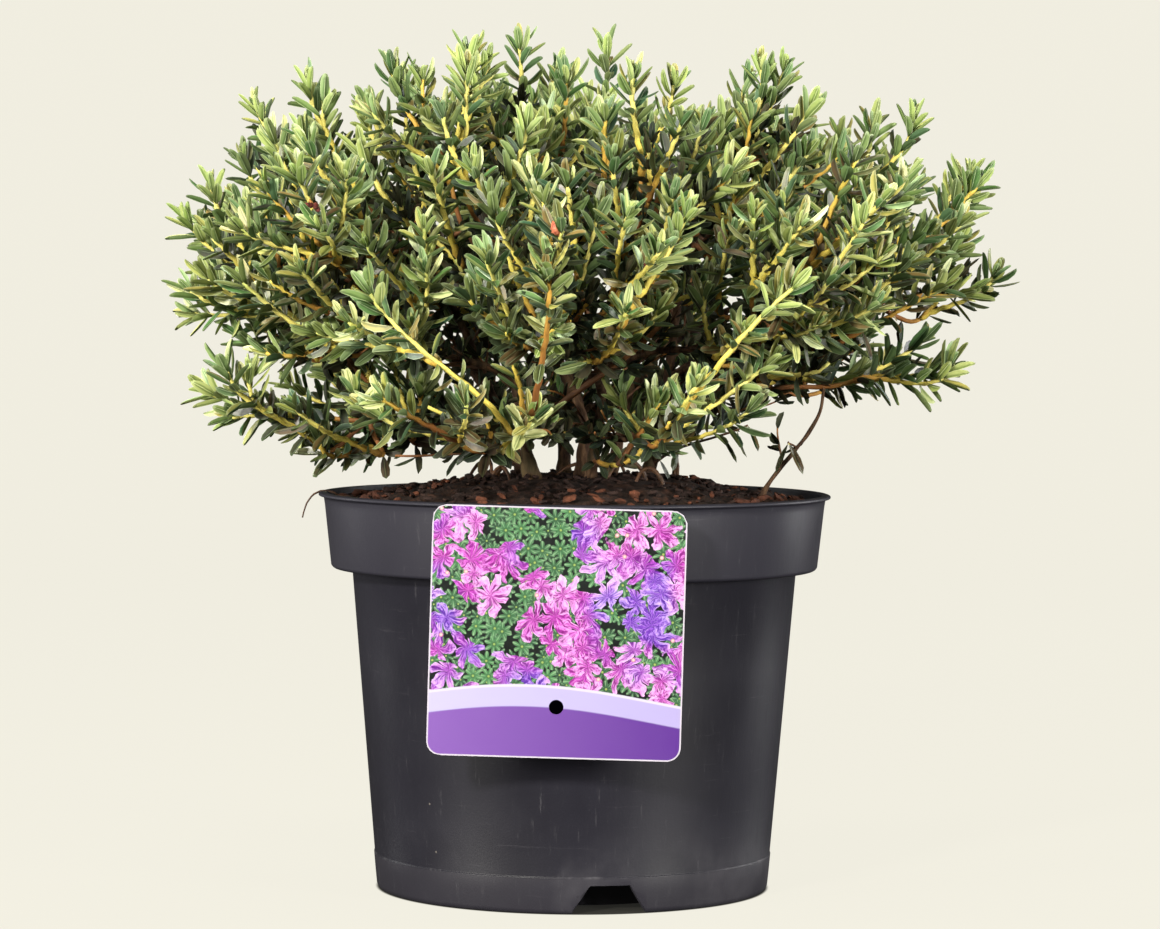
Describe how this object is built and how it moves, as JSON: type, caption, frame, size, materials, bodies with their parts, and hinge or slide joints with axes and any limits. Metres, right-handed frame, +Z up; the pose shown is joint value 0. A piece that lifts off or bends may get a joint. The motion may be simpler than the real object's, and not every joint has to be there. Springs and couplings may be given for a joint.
{
  "type": "dwarf rhododendron in a nursery pot",
  "caption": "Low evergreen rhododendron shrub, a wide cup of small-leaved foliage on short woody stems, in a round tapered nursery pot with a hanging picture card.",
  "frame": {"origin": "on the pot's axis, at the middle of its flat underside", "axes": "+Z up along the pot's axis; -Y is the front, where the card hangs; +X is to the right seen from the front"},
  "size_m": [0.282, 0.2714, 0.289],
  "materials": {
    "pot": "satin dark grey plastic",
    "soil": "rough bark compost",
    "label": "printed card, satin",
    "bark": "rough bark",
    "foliage": "leathery small leaves, satin"
  },
  "bodies": {
    "root": {"bough_shoulder_1": "bark", "bough_shoulder_2": "bark", "bough_shoulder_3": "bark", "bough_shoulder_4": "bark", "bough_shoulder_5": "bark", "bough_shoulder_6": "bark", "bough_shoulder_7": "bark", "bough_shoulder_8": "bark", "bough_shoulder_9": "bark", "bough_skirt_1": "bark", "bough_skirt_2": "bark", "bough_skirt_3": "bark", "bough_skirt_4": "bark", "bough_skirt_5": "bark", "bough_skirt_6": "bark", "bough_skirt_7": "bark", "foliage_shoulder_1": "foliage", "foliage_shoulder_2": "foliage", "foliage_shoulder_3": "foliage", "foliage_shoulder_4": "foliage", "foliage_shoulder_5": "foliage", "foliage_shoulder_6": "foliage", "foliage_shoulder_7": "foliage", "foliage_shoulder_8": "foliage", "foliage_shoulder_9": "foliage", "foliage_skirt_1": "foliage", "foliage_skirt_2": "foliage", "foliage_skirt_3": "foliage", "foliage_skirt_4": "foliage", "foliage_skirt_5": "foliage", "foliage_skirt_6": "foliage", "foliage_skirt_7": "foliage", "foliage_top": "foliage", "foliage_upper_1": "foliage", "foliage_upper_2": "foliage", "foliage_upper_3": "foliage", "foliage_upper_4": "foliage", "foliage_upper_5": "foliage", "foliage_upper_6": "foliage", "label": "label", "pot": "pot", "soil": "soil", "stem_back": "bark", "stem_back_right": "bark", "stem_front_left": "bark", "stem_front_right": "bark", "stem_left": "bark", "stem_main": "bark", "stem_right": "bark", "stem_sucker": "bark"}
  },
  "joints": []
}
